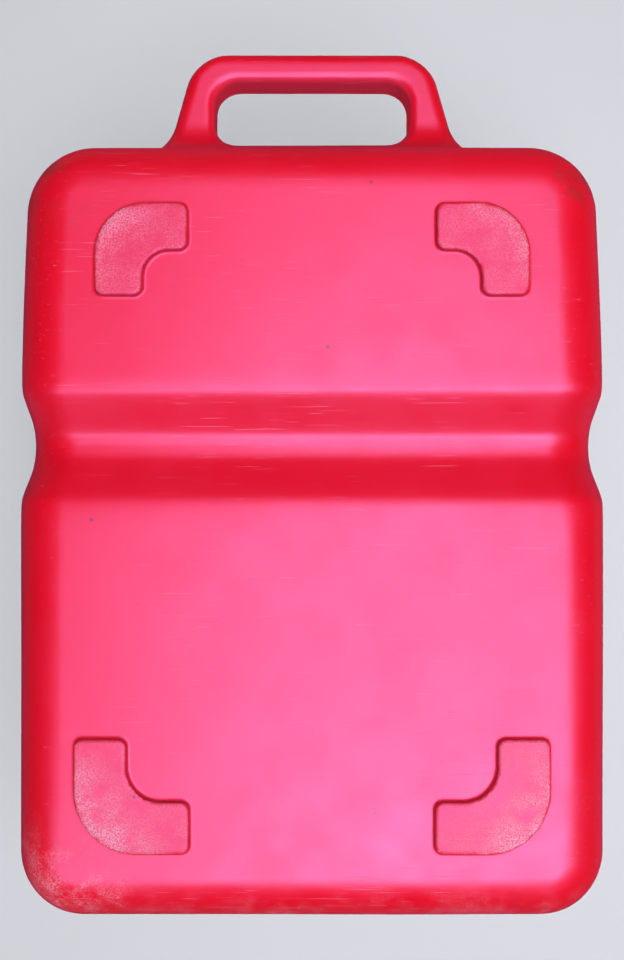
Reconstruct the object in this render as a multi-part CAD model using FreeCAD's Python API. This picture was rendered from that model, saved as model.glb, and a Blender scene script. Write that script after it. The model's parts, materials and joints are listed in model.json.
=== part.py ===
"""Portable outboard-motor fuel tank, about 24 litres, with a carrying handle moulded into its front end.

The shell is one blow-moulded piece. It stands on four raised pads, and a hold-down strap lies in a
shallow channel round its waist. The low front deck carries a screw cap with an air vent, and a gauge and
pick-up unit with the fuel-line spigot. A float inside the tank rises along two rods and turns the gauge
pointer through a twisted ribbon.

Frame: millimetres, +Z up, origin under the middle of the tank on the plane it stands on, handle towards -Y.
"""

import FreeCAD
import Part

import math
import os

V = FreeCAD.Vector
UP = V(0, 0, 1)
FORWARD = V(0, -1, 0)

# ---- driving dimensions of the shell ----
LENGTH = 534.0  # over the handle
WIDTH = 353.5
HEIGHT = 196.0
DECK_Z = 140.0  # top of the low front deck
FOOT_H = 4.0  # how far the pads stand proud of the underside
WALL = 3.5
HANDLE_REACH = 69.8  # handle's front edge to the tank's front wall
PLAN_R = 41.0  # vertical corners, seen from above
EDGE_R = 33.0  # long edges of the underside and the top
FRONT_TAPER = 9.0  # how much narrower each side is at the front

Y_FRONT = -LENGTH / 2 + HANDLE_REACH
Y_REAR = LENGTH / 2

# ---- pads ----
FRONT_PAD = 53.0  # over both arms
FRONT_PAD_ARM = 27.0
FRONT_PAD_X = 124.5
FRONT_PAD_Y = -154.5
REAR_PAD = 66.0
REAR_PAD_ARM = 30.0
REAR_PAD_X = 136.5
REAR_PAD_Y = 219.0
PAD_OUTER_SHARE = 0.55  # the big corner's radius, as a share of the pad's size
PAD_INNER_SHARE = 0.3
PAD_TIP_R = 5.0

# ---- strap channel round the waist ----
CHANNEL_Y = -15.8
CHANNEL_HALF_TOP = 32.0
CHANNEL_HALF_FLOOR = 6.0
CHANNEL_DEPTH = 18.0
SIDE_DEPTH = 3.5
SIDE_HALF_FLOOR = 15.0  # along the sides and the top the channel's floor is this much wider
TOP_CHANNEL_DEPTH = 12.0
STEP_RUN = 36.0  # length of the slope from the channel up to the rear hump

# ---- handle ----
GRIP_WIDTH = 19.0  # the bar, seen from above
GRIP_THICK = 26.0
GRIP_Z = 66.0
GRIP_ROUND = 9.0  # rounding along the handle's outer edges
HANDLE_HALF = 80.0  # half the width over the bar's corners
GRIP_CORNER_R = 20.0
LEG_LEAN = 16.0  # degrees by which each leg spreads towards the tank
FLARE_R = 30.0  # where a leg runs out into the tank's front wall
HANDLE_ROOT = 14.0  # how far the handle's solid runs on into the tank
HOLE_HALF = 61.6
HOLE_CORNER_R = 15.0
HOLE_ROUND = 6.0
WEB = 9.8  # between the hand hole and the front wall

# ---- filler ----
FILLER = V(-82, -112, 0)
NECK_R = 33.0
NECK_BORE_R = 28.0
NECK_TOP = 158.0
THREAD_STARTS = 2
THREAD_LEAD = 12.0
THREAD_DEPTH = 2.0
THREAD_LOW = 143.0
THREAD_HEIGHT = 9.0
THREAD_BURIED = 0.6  # how far a ridge's root runs into the neck
RIDGE_ROOT = 2.4
RIDGE_CREST = 1.4
GASKET_H = 3.5
CAP_R = 43.0
CAP_BORE_R = 36.0
CAP_LOW = 142.5
CAP_TOP = 168.0
CAP_LUGS = 4
CAP_LOBES = 12
CAP_EDGE_R = 5.0
CAP_DRAFT = 0.8
SCALLOP_R = 9.0
SCALLOP_REACH = 7.2  # from the cap's side out to a scallop's centre
LUG_WIDTH = 5.0
LUG_HEIGHT = 2.2
LUG_CLEAR = 0.6
VENT_STEM_R = 4.0
VENT_SEAL_H = 1.6
VENT_SEAL_R = 8.5
VENT_SEAT_DEPTH = 1.5  # the vent's seal sits this far below the cap's top
VENT_SEAT_R = 14.5
KNOB_R = 12.5
KNOB_H = 9.0
KNOB_FLUTES = 16
FLUTE_R = 1.5

# ---- gauge and pick-up unit ----
UNIT = V(82, -112, 0)
BOSS_R = 47.0
BOSS_LOW = 129.0
BOSS_TOP = 143.0
UNIT_HOLE_R = 30.0
SEAL_H = 2.0
FLANGE_H = 6.0
SCREW_COUNT = 6
SCREW_CIRCLE_R = 39.0
SCREW_R = 2.5
INSERT_R = 3.6
INSERT_LOW = BOSS_LOW + 2.0
WASHER_R = 5.6
WASHER_H = 1.0
HEAD_R = 4.6
HEAD_H = 3.2
GAUGE = V(82, -103, 0)
GAUGE_R = 20.5
GAUGE_BORE_R = 17.5
GAUGE_WELL_R = 16.0
GAUGE_TOP = 163.0
LENS_SEAT_Z = 160.0
PICKUP = V(82, -134, 0)
PICKUP_R = 4.0
OUTLET_R = 8.0
OUTLET_Z = 161.0
SPIGOT_R = 6.0

FLANGE_LOW = BOSS_TOP + SEAL_H
FLANGE_TOP = FLANGE_LOW + FLANGE_H
CHAMBER_R = 4.2
HEX_FRONT_Y = -159.0
BOSS_FACE_Y = -150.0
SPIGOT_TIP_Y = -180.0
VALVE_SEAT_Y = SPIGOT_TIP_Y + 4.0
VALVE_COLLAR = 2.0
SPRING_BACK_Y = HEX_FRONT_Y + 3.0
OUTLET_WASHER_R = 9.0
OUTLET_WASHER_H = 1.5
HEX_FLATS = 17.0
SPIGOT_BORE_R = 2.4
LATCH_GROOVE = 2.0  # width of the groove that the connector's latch drops into
LATCH_DEPTH = 0.8
SPRING_WIRE_R = 0.35
SPRING_COIL_R = 3.0
SPRING_TURNS = 6

# ---- float gauge inside the tank ----
FLOAT_R = 13.0
FLOAT_H = 24.0
FLOAT_LOW = 24.0
FLOAT_TRAVEL = 84.0
CARRIER_H = 1.6
ROD_R = 1.6
ROD_OFFSET = 18.0
CAGE_FOOT_TOP = 16.0
RIBBON_WIDTH = 6.0
RIBBON_THICK = 0.8
RIBBON_LOW = 18.0
RIBBON_TOP = 134.0
POINTER_SWEEP = 160.0  # degrees over the float's whole travel
EMPTY_MARK = 170.0  # where the hand points when the tank is empty, in degrees from +X
SPINDLE_R = 1.3


def cylinder(centre, radius, low, high):
    """A vertical cylinder on centre from height low to high."""
    return Part.makeCylinder(radius, high - low, V(centre.x, centre.y, low), UP)


def ring(centre, outer, inner, low, high):
    return cylinder(centre, outer, low, high).cut(cylinder(centre, inner, low - 1, high + 1))


def lying_cylinder(x, z, radius, y_back, y_front):
    """A cylinder along -Y, from y_back towards the front."""
    return Part.makeCylinder(radius, y_back - y_front, V(x, y_back, z), FORWARD)


def turned(centre, profile):
    """A solid of revolution about the vertical through centre. profile is (radius, height) pairs."""
    points = [V(centre.x + r, centre.y, z) for r, z in profile]
    face = Part.Face(Part.makePolygon(points + points[:1]))
    return face.revolve(V(centre.x, centre.y, 0), UP, 360)


def fuse_all(shapes):
    joined = shapes[0]
    for shape in shapes[1:]:
        joined = joined.fuse(shape)
    return joined.removeSplitter()


def ramp(u):
    """0 to 1 as u goes from 0 to 1, level at both ends."""
    u = min(1.0, max(0.0, u))
    return 0.5 - 0.5 * math.cos(math.pi * u)


def sagitta(radius, distance):
    """How far a rounded end has drawn in at this distance from the end."""
    if distance >= radius:
        return 0.0
    return radius - math.sqrt(radius**2 - (radius - distance) ** 2)


# ---------------- shell ----------------


def channel_share(y, half_floor):
    """How deep the strap channel is at y, as a share of its full depth."""
    return ramp((CHANNEL_HALF_TOP - abs(y - CHANNEL_Y)) / (CHANNEL_HALF_TOP - half_floor))


def half_width(y):
    taper = FRONT_TAPER * ramp((CHANNEL_Y - y) / (CHANNEL_Y - Y_FRONT) * 0.6)
    return WIDTH / 2 - taper - SIDE_DEPTH * channel_share(y, SIDE_HALF_FLOOR)


def underside(y):
    return FOOT_H + CHANNEL_DEPTH * channel_share(y, CHANNEL_HALF_FLOOR)


def topside(y):
    floor = DECK_Z - TOP_CHANNEL_DEPTH
    if y < CHANNEL_Y:
        return DECK_Z - TOP_CHANNEL_DEPTH * channel_share(y, SIDE_HALF_FLOOR)
    step_start = CHANNEL_Y + SIDE_HALF_FLOOR
    return floor + (HEIGHT - floor) * ramp((y - step_start) / STEP_RUN)


def rounded_section(y, half_w, low, high, r):
    """A rounded rectangle across the tank at y, as a closed wire."""
    k = r * (1 - math.sqrt(0.5))
    x0, x1 = half_w - r, half_w
    edges = [
        Part.makeLine(V(-x0, y, low), V(x0, y, low)),
        Part.Arc(V(x0, y, low), V(x1 - k, y, low + k), V(x1, y, low + r)).toShape(),
        Part.makeLine(V(x1, y, low + r), V(x1, y, high - r)),
        Part.Arc(V(x1, y, high - r), V(x1 - k, y, high - k), V(x0, y, high)).toShape(),
        Part.makeLine(V(x0, y, high), V(-x0, y, high)),
        Part.Arc(V(-x0, y, high), V(-x1 + k, y, high - k), V(-x1, y, high - r)).toShape(),
        Part.makeLine(V(-x1, y, high - r), V(-x1, y, low + r)),
        Part.Arc(V(-x1, y, low + r), V(-x1 + k, y, low + k), V(-x0, y, low)).toShape(),
    ]
    return Part.Wire(edges)


def stations(inset):
    """Where the loft's sections stand: close together round each end and over the channel and the step."""
    front, rear = Y_FRONT + inset, Y_REAR - inset
    steps = 7
    ends = [PLAN_R * (1 - math.cos(math.radians(90 * i / steps))) for i in range(steps + 1)]
    low = CHANNEL_Y - CHANNEL_HALF_TOP
    high = CHANNEL_Y + SIDE_HALF_FLOOR + STEP_RUN
    count = 20
    middle = [low + (high - low) * i / count for i in range(count + 1)]
    return [front + s for s in ends] + [(front + low) / 2] + middle + [rear - s for s in reversed(ends)]


def body(inset):
    """The tank's outer body, or at inset WALL the space inside it."""
    front, rear = Y_FRONT + inset, Y_REAR - inset
    plan_r, edge_r = PLAN_R - inset, EDGE_R - inset
    wires = []
    for y in stations(inset):
        s = min(y - front, rear - y)
        draw = sagitta(edge_r, s)
        corner = max(6.0, math.sqrt(edge_r**2 - max(0.0, edge_r - s) ** 2))
        wires.append(
            rounded_section(
                y,
                half_width(y) - inset - sagitta(plan_r, s),
                underside(y) + inset + draw,
                topside(y) - inset - draw,
                corner,
            )
        )
    return Part.makeLoft(wires, True, True)


def line(a, b):
    return Part.makeLine(a, b)


def arc(a, b, c):
    """The arc from a through b to c."""
    return Part.Arc(a, b, c).toShape()


def both_sides(make_half):
    """A closed wire from one half outline and its mirror image across the tank's centre plane."""
    edges = make_half(lambda x, y: V(x, y, 0)) + make_half(lambda x, y: V(-x, y, 0))
    return Part.Wire(Part.__sortEdges__(edges))


def rounded_slot(half_length, y_far, y_near, r):
    """A slot across the handle, from y_far (the outer end) to y_near, with corners of radius r."""
    x = half_length
    k = r * (1 - math.sqrt(0.5))

    def half(at):
        return [
            line(at(0, y_far), at(x - r, y_far)),
            arc(at(x - r, y_far), at(x - k, y_far + k), at(x, y_far + r)),
            line(at(x, y_far + r), at(x, y_near - r)),
            arc(at(x, y_near - r), at(x - k, y_near - k), at(x - r, y_near)),
            line(at(x - r, y_near), at(0, y_near)),
        ]

    return both_sides(half)


def handle_outline():
    """The handle's outer edge from above: the bar, its corners, the slanted legs and their flared roots."""
    bar_y = -LENGTH / 2
    lean = math.radians(LEG_LEAN)
    along_leg = V(math.sin(lean), math.cos(lean), 0)
    out_of_leg = V(math.cos(lean), -math.sin(lean), 0)
    corner = V(HANDLE_HALF - out_of_leg.x * GRIP_CORNER_R, bar_y + GRIP_CORNER_R, 0)
    corner_middle = corner + (out_of_leg + FORWARD).normalize() * GRIP_CORNER_R
    leg_top = corner + out_of_leg * GRIP_CORNER_R
    # each flare is tangent to its leg and to the tank's front wall
    leg_end_y = Y_FRONT - FLARE_R * (1 - math.sin(lean))
    leg_end = leg_top + along_leg * ((leg_end_y - leg_top.y) / along_leg.y)
    flare = leg_end + out_of_leg * FLARE_R
    flare_middle = flare + (V(0, 1, 0) - out_of_leg).normalize() * FLARE_R
    inside = Y_FRONT + HANDLE_ROOT

    def half(at):
        return [
            line(at(0, bar_y), at(corner.x, bar_y)),
            arc(at(corner.x, bar_y), at(corner_middle.x, corner_middle.y), at(leg_top.x, leg_top.y)),
            line(at(leg_top.x, leg_top.y), at(leg_end.x, leg_end.y)),
            arc(at(leg_end.x, leg_end.y), at(flare_middle.x, flare_middle.y), at(flare.x, Y_FRONT)),
            line(at(flare.x, Y_FRONT), at(flare.x, inside)),
            line(at(flare.x, inside), at(0, inside)),
        ]

    return both_sides(half)


def level_edges(shape):
    return [e for e in shape.Edges if e.BoundBox.ZLength < 1e-6]


def handle(inset):
    """The handle with its hand hole. At inset WALL it is the hollow inside it."""
    thickness = GRIP_THICK - 2 * inset
    outline = handle_outline()
    hole_far = -LENGTH / 2 + GRIP_WIDTH - inset
    hole_near = Y_FRONT - WEB + inset
    if inset:
        outline = outline.makeOffset2D(-inset)
    slab = Part.Face(outline).extrude(V(0, 0, thickness)).removeSplitter()
    in_front = [e for e in level_edges(slab) if e.BoundBox.YMax < Y_FRONT + inset + 0.01]
    slab = slab.makeFillet(GRIP_ROUND - inset, in_front)
    hole = rounded_slot(HOLE_HALF + inset, hole_far, hole_near, HOLE_CORNER_R + inset)
    slab = slab.cut(Part.Face(hole).extrude(V(0, 0, thickness)))
    rim = FreeCAD.BoundBox(-HOLE_HALF - inset, hole_far, 0, HOLE_HALF + inset, hole_near, thickness)
    rim.enlarge(0.1)
    around_hole = [e for e in level_edges(slab) if rim.isInside(e.BoundBox)]
    slab = slab.makeFillet(HOLE_ROUND - inset / 2, around_hole)
    slab.translate(V(0, 0, GRIP_Z - thickness / 2))
    return slab


def pad_face(corner_x, corner_y, size, arm, to_x, to_y):
    """An L-shaped pad with its large round corner at (corner_x, corner_y), its arms along to_x and to_y."""
    outer, inner, t = PAD_OUTER_SHARE * size, PAD_INNER_SHARE * size, PAD_TIP_R
    s, w = size, arm
    k = 1 - math.sqrt(0.5)

    def at(a, b):
        return V(corner_x + to_x * a, corner_y + to_y * b, 0)

    edges = [
        arc(at(0, outer), at(outer * k, outer * k), at(outer, 0)),
        line(at(outer, 0), at(s - t, 0)),
        arc(at(s - t, 0), at(s - t * k, t * k), at(s, t)),
        line(at(s, t), at(s, w - t)),
        arc(at(s, w - t), at(s - t * k, w - t * k), at(s - t, w)),
        line(at(s - t, w), at(w + inner, w)),
        arc(at(w + inner, w), at(w + inner * k, w + inner * k), at(w, w + inner)),
        line(at(w, w + inner), at(w, s - t)),
        arc(at(w, s - t), at(w - t * k, s - t * k), at(w - t, s)),
        line(at(w - t, s), at(t, s)),
        arc(at(t, s), at(t * k, s - t * k), at(0, s - t)),
        line(at(0, s - t), at(0, outer)),
    ]
    return Part.Face(Part.Wire(edges))


def pads():
    """The four pads, smaller at the front. Their faces are the plane the tank stands on."""
    made = []
    for side in (1, -1):
        faces = [
            pad_face(side * FRONT_PAD_X, FRONT_PAD_Y, FRONT_PAD, FRONT_PAD_ARM, -side, 1),
            pad_face(side * REAR_PAD_X, REAR_PAD_Y, REAR_PAD, REAR_PAD_ARM, -side, -1),
        ]
        made += [face.extrude(V(0, 0, FOOT_H + 2.0)) for face in faces]
    return made


def neck_thread():
    """The neck's outside thread: one helical ridge for each start."""
    ridges = []
    for start in range(THREAD_STARTS):
        helix = Part.makeHelix(THREAD_LEAD, THREAD_HEIGHT, NECK_R)
        root, crest = RIDGE_ROOT / 2, RIDGE_CREST / 2
        points = [
            V(NECK_R - THREAD_BURIED, 0, -root),
            V(NECK_R + THREAD_DEPTH, 0, -crest),
            V(NECK_R + THREAD_DEPTH, 0, crest),
            V(NECK_R - THREAD_BURIED, 0, root),
        ]
        profile = Part.makePolygon(points + points[:1])
        ridge = Part.Wire(helix.Edges).makePipeShell([profile], True, True)
        ridge.rotate(V(0, 0, 0), UP, 360 * start / THREAD_STARTS)
        ridge.translate(V(FILLER.x, FILLER.y, THREAD_LOW))
        ridges.append(ridge)
    return ridges


def screw_places():
    for i in range(SCREW_COUNT):
        angle = math.radians(360 * i / SCREW_COUNT)
        yield UNIT + V(SCREW_CIRCLE_R * math.cos(angle), SCREW_CIRCLE_R * math.sin(angle), 0)


def tank_shell():
    """The blow-moulded shell with its handle, pads, filler neck and the boss for the gauge unit."""
    outer = fuse_all([body(0.0), handle(0.0)])
    hollow = fuse_all([body(WALL), handle(WALL)])
    solid = outer.cut(hollow)
    neck = cylinder(FILLER, NECK_R, DECK_Z - WALL, NECK_TOP)
    boss = cylinder(UNIT, BOSS_R, BOSS_LOW, BOSS_TOP)
    solid = fuse_all([solid, neck, boss] + pads())
    solid = solid.cut(cylinder(FILLER, NECK_BORE_R, DECK_Z - 2 * WALL, NECK_TOP + 1))
    solid = solid.cut(cylinder(UNIT, UNIT_HOLE_R, BOSS_LOW - 1, BOSS_TOP + 1))
    for place in screw_places():
        solid = solid.cut(cylinder(place, INSERT_R, INSERT_LOW, BOSS_TOP + 1))
    return fuse_all([solid] + neck_thread())


# ---------------- filler cap ----------------


def cap_gasket():
    return ring(FILLER, NECK_R + 1.0, NECK_BORE_R + 1.0, NECK_TOP, NECK_TOP + GASKET_H)


def filler_cap():
    """Screw cap with finger scallops, lugs that ride under the neck's thread, and a vent seat."""
    plate_low = NECK_TOP + GASKET_H
    top_r = CAP_R - CAP_DRAFT
    k = CAP_EDGE_R * (1 - math.sqrt(0.5))
    seat_z = CAP_TOP - VENT_SEAT_DEPTH
    shell = turned(
        FILLER,
        [
            (CAP_BORE_R, CAP_LOW),
            (CAP_R, CAP_LOW),
            (top_r, CAP_TOP - CAP_EDGE_R),
            (top_r - k, CAP_TOP - k),
            (top_r - CAP_EDGE_R, CAP_TOP),
            (VENT_SEAT_R + VENT_SEAT_DEPTH, CAP_TOP),
            (VENT_SEAT_R, seat_z),
            (VENT_STEM_R + 0.2, seat_z),
            (VENT_STEM_R + 0.2, plate_low),
            (CAP_BORE_R, plate_low),
        ],
    )
    for i in range(CAP_LOBES):
        angle = math.radians(360 * (i + 0.5) / CAP_LOBES)
        away = CAP_R + SCALLOP_REACH
        place = FILLER + V(away * math.cos(angle), away * math.sin(angle), 0)
        shell = shell.cut(cylinder(place, SCALLOP_R, CAP_LOW + 5, CAP_TOP + 1))
    lug_inner = NECK_R + LUG_CLEAR
    lug_z = THREAD_LOW + THREAD_LEAD / THREAD_STARTS / 2
    for i in range(CAP_LUGS):
        turn = 360.0 * i / CAP_LUGS
        rise = THREAD_LEAD * turn / 360.0 % (THREAD_LEAD / THREAD_STARTS)
        low = lug_z + rise - LUG_HEIGHT / 2
        lug = Part.makeBox(
            CAP_BORE_R + 1 - lug_inner, LUG_WIDTH, LUG_HEIGHT, V(lug_inner, -LUG_WIDTH / 2, low)
        )
        lug.rotate(V(0, 0, 0), UP, turn)
        lug.translate(FILLER)
        shell = shell.fuse(lug)
    return shell.removeSplitter()


def vent_seal():
    low = CAP_TOP - VENT_SEAT_DEPTH
    return ring(FILLER, VENT_SEAL_R, VENT_STEM_R + 0.1, low, low + VENT_SEAL_H)


def vent_screw():
    """The air-vent screw: a knurled knob on a stem through the cap."""
    low = CAP_TOP - VENT_SEAT_DEPTH + VENT_SEAL_H
    high = low + KNOB_H
    knob = turned(
        FILLER,
        [
            (0, low),
            (KNOB_R - 1.0, low),
            (KNOB_R, low + 1.0),
            (KNOB_R, high - 1.5),
            (KNOB_R - 1.5, high),
            (0, high),
        ],
    )
    away = KNOB_R + 0.6
    for i in range(KNOB_FLUTES):
        angle = math.radians(360 * i / KNOB_FLUTES)
        place = FILLER + V(away * math.cos(angle), away * math.sin(angle), 0)
        knob = knob.cut(cylinder(place, FLUTE_R, low + 1.5, high + 1))
    stem = cylinder(FILLER, VENT_STEM_R, NECK_TOP - 1.0, low)
    return fuse_all([knob, stem])


# ---------------- gauge and pick-up unit ----------------


def unit_gasket():
    seal = ring(UNIT, BOSS_R - 1, UNIT_HOLE_R + 0.5, BOSS_TOP, BOSS_TOP + SEAL_H)
    for place in screw_places():
        seal = seal.cut(cylinder(place, SCREW_R + 0.4, BOSS_TOP - 1, FLANGE_LOW + 1))
    return seal


def unit_flange():
    """The black moulding on the tank's boss: gauge housing, riser and outlet in one piece."""
    plate = cylinder(UNIT, BOSS_R - 1, FLANGE_LOW, FLANGE_TOP)
    plate = plate.makeFillet(1.5, [e for e in plate.Edges if abs(e.CenterOfMass.z - FLANGE_TOP) < 0.1])
    housing = cylinder(GAUGE, GAUGE_R, FLANGE_LOW, GAUGE_TOP)
    riser = cylinder(PICKUP, OUTLET_R, FLANGE_LOW, OUTLET_Z)
    outlet = lying_cylinder(PICKUP.x, OUTLET_Z, OUTLET_R, PICKUP.y, BOSS_FACE_Y)
    elbow = Part.makeSphere(OUTLET_R, V(PICKUP.x, PICKUP.y, OUTLET_Z))
    solid = fuse_all([plate, housing, riser, elbow, outlet])
    solid = solid.cut(cylinder(GAUGE, GAUGE_WELL_R, FLANGE_TOP, GAUGE_TOP + 8))
    solid = solid.cut(cylinder(GAUGE, GAUGE_BORE_R, LENS_SEAT_Z, GAUGE_TOP + 8))
    solid = solid.cut(cylinder(GAUGE, SPINDLE_R + 0.1, FLANGE_LOW - 1, FLANGE_TOP + 1))
    solid = solid.cut(cylinder(PICKUP, PICKUP_R - 1, FLANGE_LOW - 1, OUTLET_Z))
    solid = solid.cut(lying_cylinder(PICKUP.x, OUTLET_Z, PICKUP_R - 1, PICKUP.y, BOSS_FACE_Y - 1))
    solid = solid.cut(lying_cylinder(PICKUP.x, OUTLET_Z, SPIGOT_R, BOSS_FACE_Y + 8, BOSS_FACE_Y - 1))
    for place in screw_places():
        solid = solid.cut(cylinder(place, SCREW_R + 0.3, FLANGE_LOW - 1, FLANGE_TOP + 1))
    return solid


def flange_washers():
    low, high = FLANGE_TOP, FLANGE_TOP + WASHER_H
    return [ring(p, WASHER_R, SCREW_R + 0.2, low, high) for p in screw_places()]


def flange_screws():
    """Pan-head screws with a cross recess."""
    made = []
    seat = FLANGE_TOP + WASHER_H
    for place in screw_places():
        profile = [
            (0, seat),
            (HEAD_R, seat),
            (HEAD_R, seat + 1.4),
            (HEAD_R - 1.4, seat + HEAD_H - 0.3),
            (0, seat + HEAD_H),
        ]
        head = turned(place, profile)
        for angle in (0, 90):
            slot = Part.makeBox(HEAD_R, 1.0, 2.0, V(-HEAD_R / 2, -0.5, seat + HEAD_H - 1.5))
            slot.rotate(V(0, 0, 0), UP, angle)
            slot.translate(place)
            head = head.cut(slot)
        made.append(head.fuse(cylinder(place, SCREW_R, BOSS_LOW + 4, seat)).removeSplitter())
    return made


def thread_inserts():
    return [ring(p, INSERT_R, SCREW_R + 0.05, INSERT_LOW, BOSS_TOP) for p in screw_places()]


def gauge_dial():
    plate = ring(GAUGE, GAUGE_WELL_R - 0.2, SPINDLE_R + 0.3, FLANGE_TOP, FLANGE_TOP + 1)
    raised, mark_outer = 0.3, 15.0
    marks = 5
    for i in range(marks):
        angle = EMPTY_MARK - POINTER_SWEEP * i / (marks - 1)
        length = 4.0 if i % 2 == 0 else 2.5
        mark = Part.makeBox(length, 1.0, raised, V(mark_outer - length, -0.5, FLANGE_TOP + 1))
        mark.rotate(V(0, 0, 0), UP, angle)
        mark.translate(GAUGE)
        plate = plate.fuse(mark)
    return plate.removeSplitter()


def gauge_pointer():
    """A tapered hand with a counterweight and hub. At rest it points at the empty mark."""
    low, high = FLANGE_TOP + 2.2, FLANGE_TOP + 3.0
    outline = [V(-5, -1.6, 0), V(13, -0.5, 0), V(13, 0.5, 0), V(-5, 1.6, 0)]
    hand = Part.Face(Part.makePolygon(outline + outline[:1])).extrude(V(0, 0, high - low))
    hand.rotate(V(0, 0, 0), UP, EMPTY_MARK)
    hand.translate(V(GAUGE.x, GAUGE.y, low))
    hub = cylinder(GAUGE, 3.0, low, high + 1.0)
    return hand.fuse(hub).cut(cylinder(GAUGE, SPINDLE_R, low - 1, high)).removeSplitter()


def gauge_lens():
    top, edge_r = GAUGE_TOP, GAUGE_BORE_R - 0.2
    low = LENS_SEAT_Z
    return turned(GAUGE, [(0, low), (edge_r, low), (edge_r, top - 0.4), (12.0, top + 0.4), (0, top + 0.8)])


def gauge_bezel():
    outer, lip = GAUGE_R + 2.0, GAUGE_BORE_R - 1.2
    return turned(
        GAUGE,
        [
            (GAUGE_R, GAUGE_TOP - 7),
            (outer, GAUGE_TOP - 7),
            (outer, GAUGE_TOP + 1),
            (outer - 1, GAUGE_TOP + 2),
            (lip, GAUGE_TOP + 2),
            (lip, GAUGE_TOP + 0.6),
            (GAUGE_R, GAUGE_TOP + 0.6),
        ],
    )


def spindle_ribbon():
    """The twisted ribbon and its spindle. The twist carries the ribbon through the carrier's slot."""
    twist = math.radians(POINTER_SWEEP) / FLOAT_TRAVEL
    count = 40
    wires = []
    for i in range(count + 1):
        z = RIBBON_LOW + (RIBBON_TOP - RIBBON_LOW) * i / count
        angle = twist * (z - FLOAT_LOW + CARRIER_H / 2)
        u = V(math.cos(angle), math.sin(angle), 0)
        v = V(-math.sin(angle), math.cos(angle), 0)
        centre = V(GAUGE.x, GAUGE.y, z)
        corners = [
            centre + u * (a * RIBBON_WIDTH / 2) + v * (b * RIBBON_THICK / 2)
            for a, b in ((-1, -1), (1, -1), (1, 1), (-1, 1))
        ]
        wires.append(Part.makePolygon(corners + corners[:1]))
    strip = Part.makeLoft(wires, True, False)
    low_pin = cylinder(GAUGE, SPINDLE_R, CAGE_FOOT_TOP - 3.0, RIBBON_LOW + 0.5)
    high_pin = cylinder(GAUGE, SPINDLE_R, RIBBON_TOP - 0.5, FLANGE_TOP + 3.0)
    return strip.fuse([low_pin, high_pin])


def rod_places():
    return [GAUGE + V(side * ROD_OFFSET, 0, 0) for side in (1, -1)]


def guide_rods():
    return [cylinder(p, ROD_R, CAGE_FOOT_TOP, FLANGE_LOW) for p in rod_places()]


def bar_plate(low, high, end_r):
    """A plate with round ends that spans the two rods."""
    a, b = rod_places()
    web = Part.makeBox(2 * ROD_OFFSET, 2 * end_r, high - low, V(b.x, b.y - end_r, low))
    return fuse_all([web, cylinder(a, end_r, low, high), cylinder(b, end_r, low, high)])


def cage_foot():
    plate = bar_plate(CAGE_FOOT_TOP - 4.0, CAGE_FOOT_TOP, 4.0)
    return plate.cut(cylinder(GAUGE, SPINDLE_R + 0.1, CAGE_FOOT_TOP - 3.0, CAGE_FOOT_TOP + 1))


def float_carrier():
    plate = bar_plate(FLOAT_LOW - CARRIER_H, FLOAT_LOW, 3.6)
    plate = fuse_all([plate, cylinder(GAUGE, FLOAT_R - 2, FLOAT_LOW - CARRIER_H, FLOAT_LOW)])
    for place in rod_places():
        plate = plate.cut(cylinder(place, ROD_R + 0.3, FLOAT_LOW - 3, FLOAT_LOW + 1))
    gap = 0.5
    slot = Part.makeBox(
        RIBBON_WIDTH + 2 * gap,
        RIBBON_THICK + 2 * gap,
        CARRIER_H + 2,
        V(-RIBBON_WIDTH / 2 - gap, -RIBBON_THICK / 2 - gap, FLOAT_LOW - CARRIER_H - 1),
    )
    slot.translate(GAUGE)
    return plate.cut(slot)


def float_body():
    return ring(GAUGE, FLOAT_R, RIBBON_WIDTH / 2 + 1.2, FLOAT_LOW, FLOAT_LOW + FLOAT_H)


def pickup_tube():
    return ring(PICKUP, PICKUP_R, PICKUP_R - 1, 20.0, FLANGE_LOW)


def pickup_strainer():
    """A slotted cup on the foot of the pick-up tube."""
    outer, inner, low = 6.5, 5.5, 9.5
    cup = turned(
        PICKUP,
        [
            (0, low),
            (outer, low),
            (outer, low + 14.5),
            (PICKUP_R, low + 16.5),
            (PICKUP_R, low + 14),
            (inner, low + 12.5),
            (inner, low + 1.5),
            (0, low + 1.5),
        ],
    )
    slots = 8
    for i in range(slots):
        slot = Part.makeBox(3.0, 2.0, 8.0, V(inner - 1, -1.0, low + 3))
        slot.rotate(V(0, 0, 0), UP, 360.0 * i / slots)
        slot.translate(PICKUP)
        cup = cup.cut(slot)
    return cup


# ---------------- fuel-line spigot ----------------


def hexagon(x, z, across_flats, y_back, y_front):
    r = across_flats / math.sqrt(3)
    points = [
        V(x + r * math.cos(math.radians(60 * i)), y_back, z + r * math.sin(math.radians(60 * i)))
        for i in range(6)
    ]
    return Part.Face(Part.makePolygon(points + points[:1])).extrude(V(0, y_front - y_back, 0))


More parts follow.
